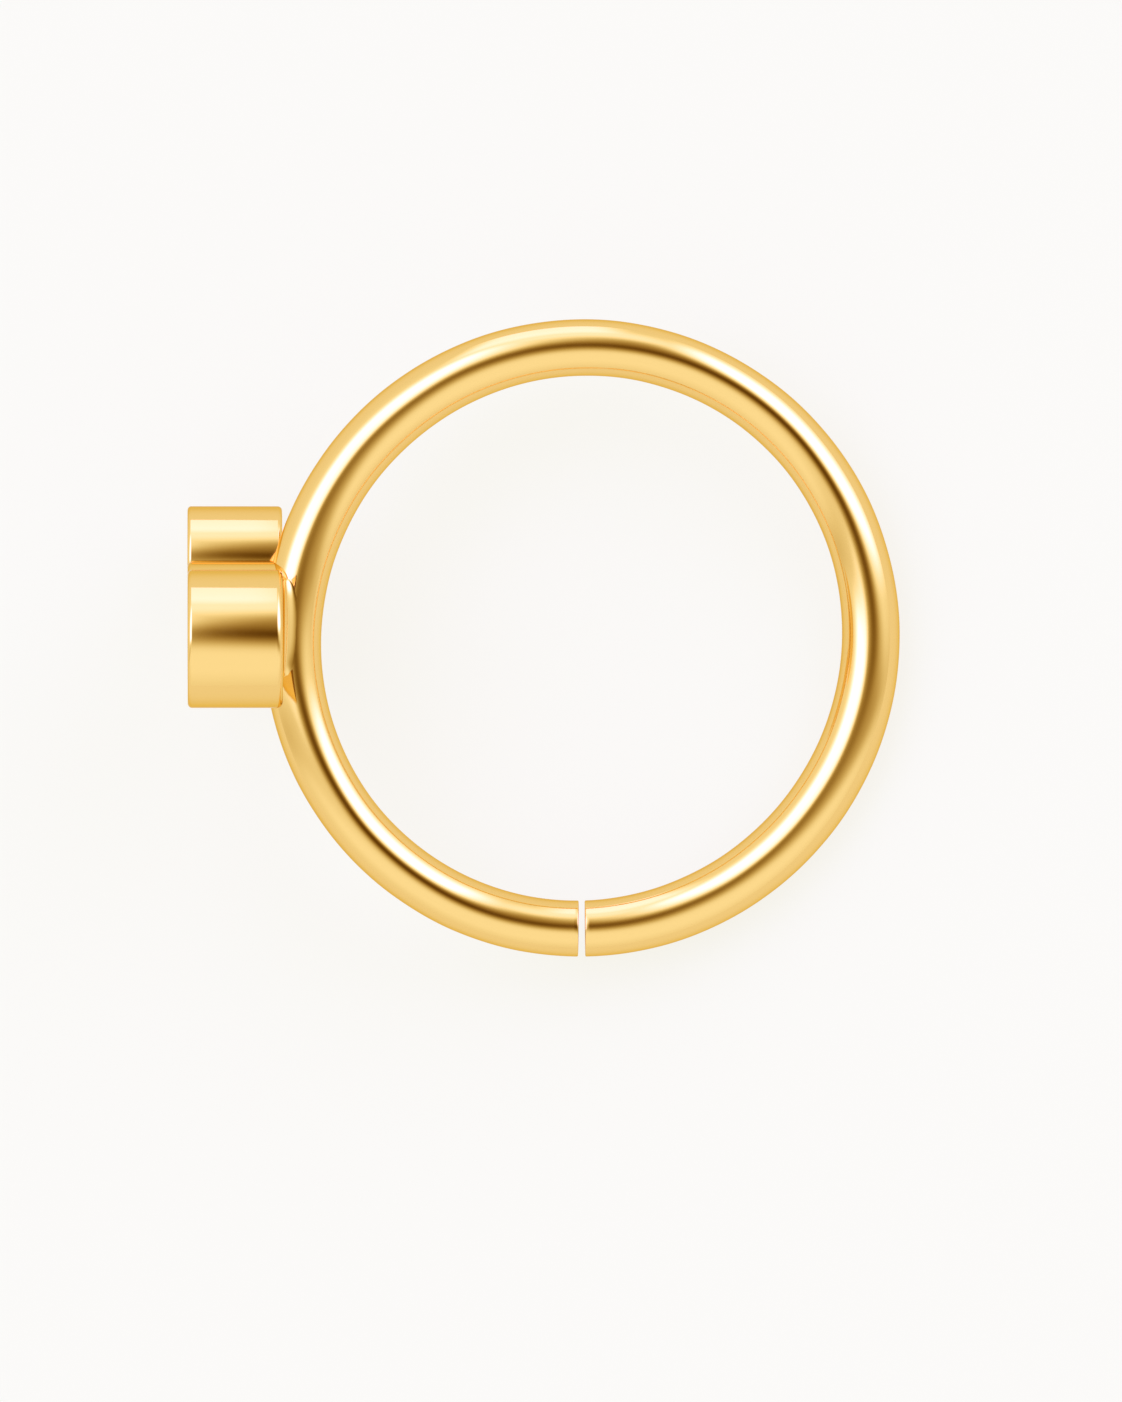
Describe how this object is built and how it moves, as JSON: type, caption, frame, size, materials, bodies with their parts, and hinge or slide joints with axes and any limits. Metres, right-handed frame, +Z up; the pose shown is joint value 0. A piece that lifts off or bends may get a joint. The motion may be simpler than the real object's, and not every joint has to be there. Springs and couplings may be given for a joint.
{
  "type": "rook hoop",
  "caption": "Gold ring of round wire that twists open at a seam for an ear piercing, with a graduated row of stone-set round collets soldered side by side on its outside.",
  "frame": {"origin": "on the surface the ring lies on, under the middle of its box", "axes": "+Z up from the surface, +X from the collets across the ring to its plain far side, -Y towards the seam"},
  "size_m": [0.0132, 0.0116, 0.0062],
  "materials": {
    "gold": "hand-polished 14-carat yellow gold, mirror bright with faint waves and hairlines",
    "stone": "clear, colourless, polished flat facets"
  },
  "bodies": {
    "root": {"hoop": "gold", "stone_large": "stone", "stone_middle": "stone", "stone_small": "stone"}
  },
  "joints": []
}
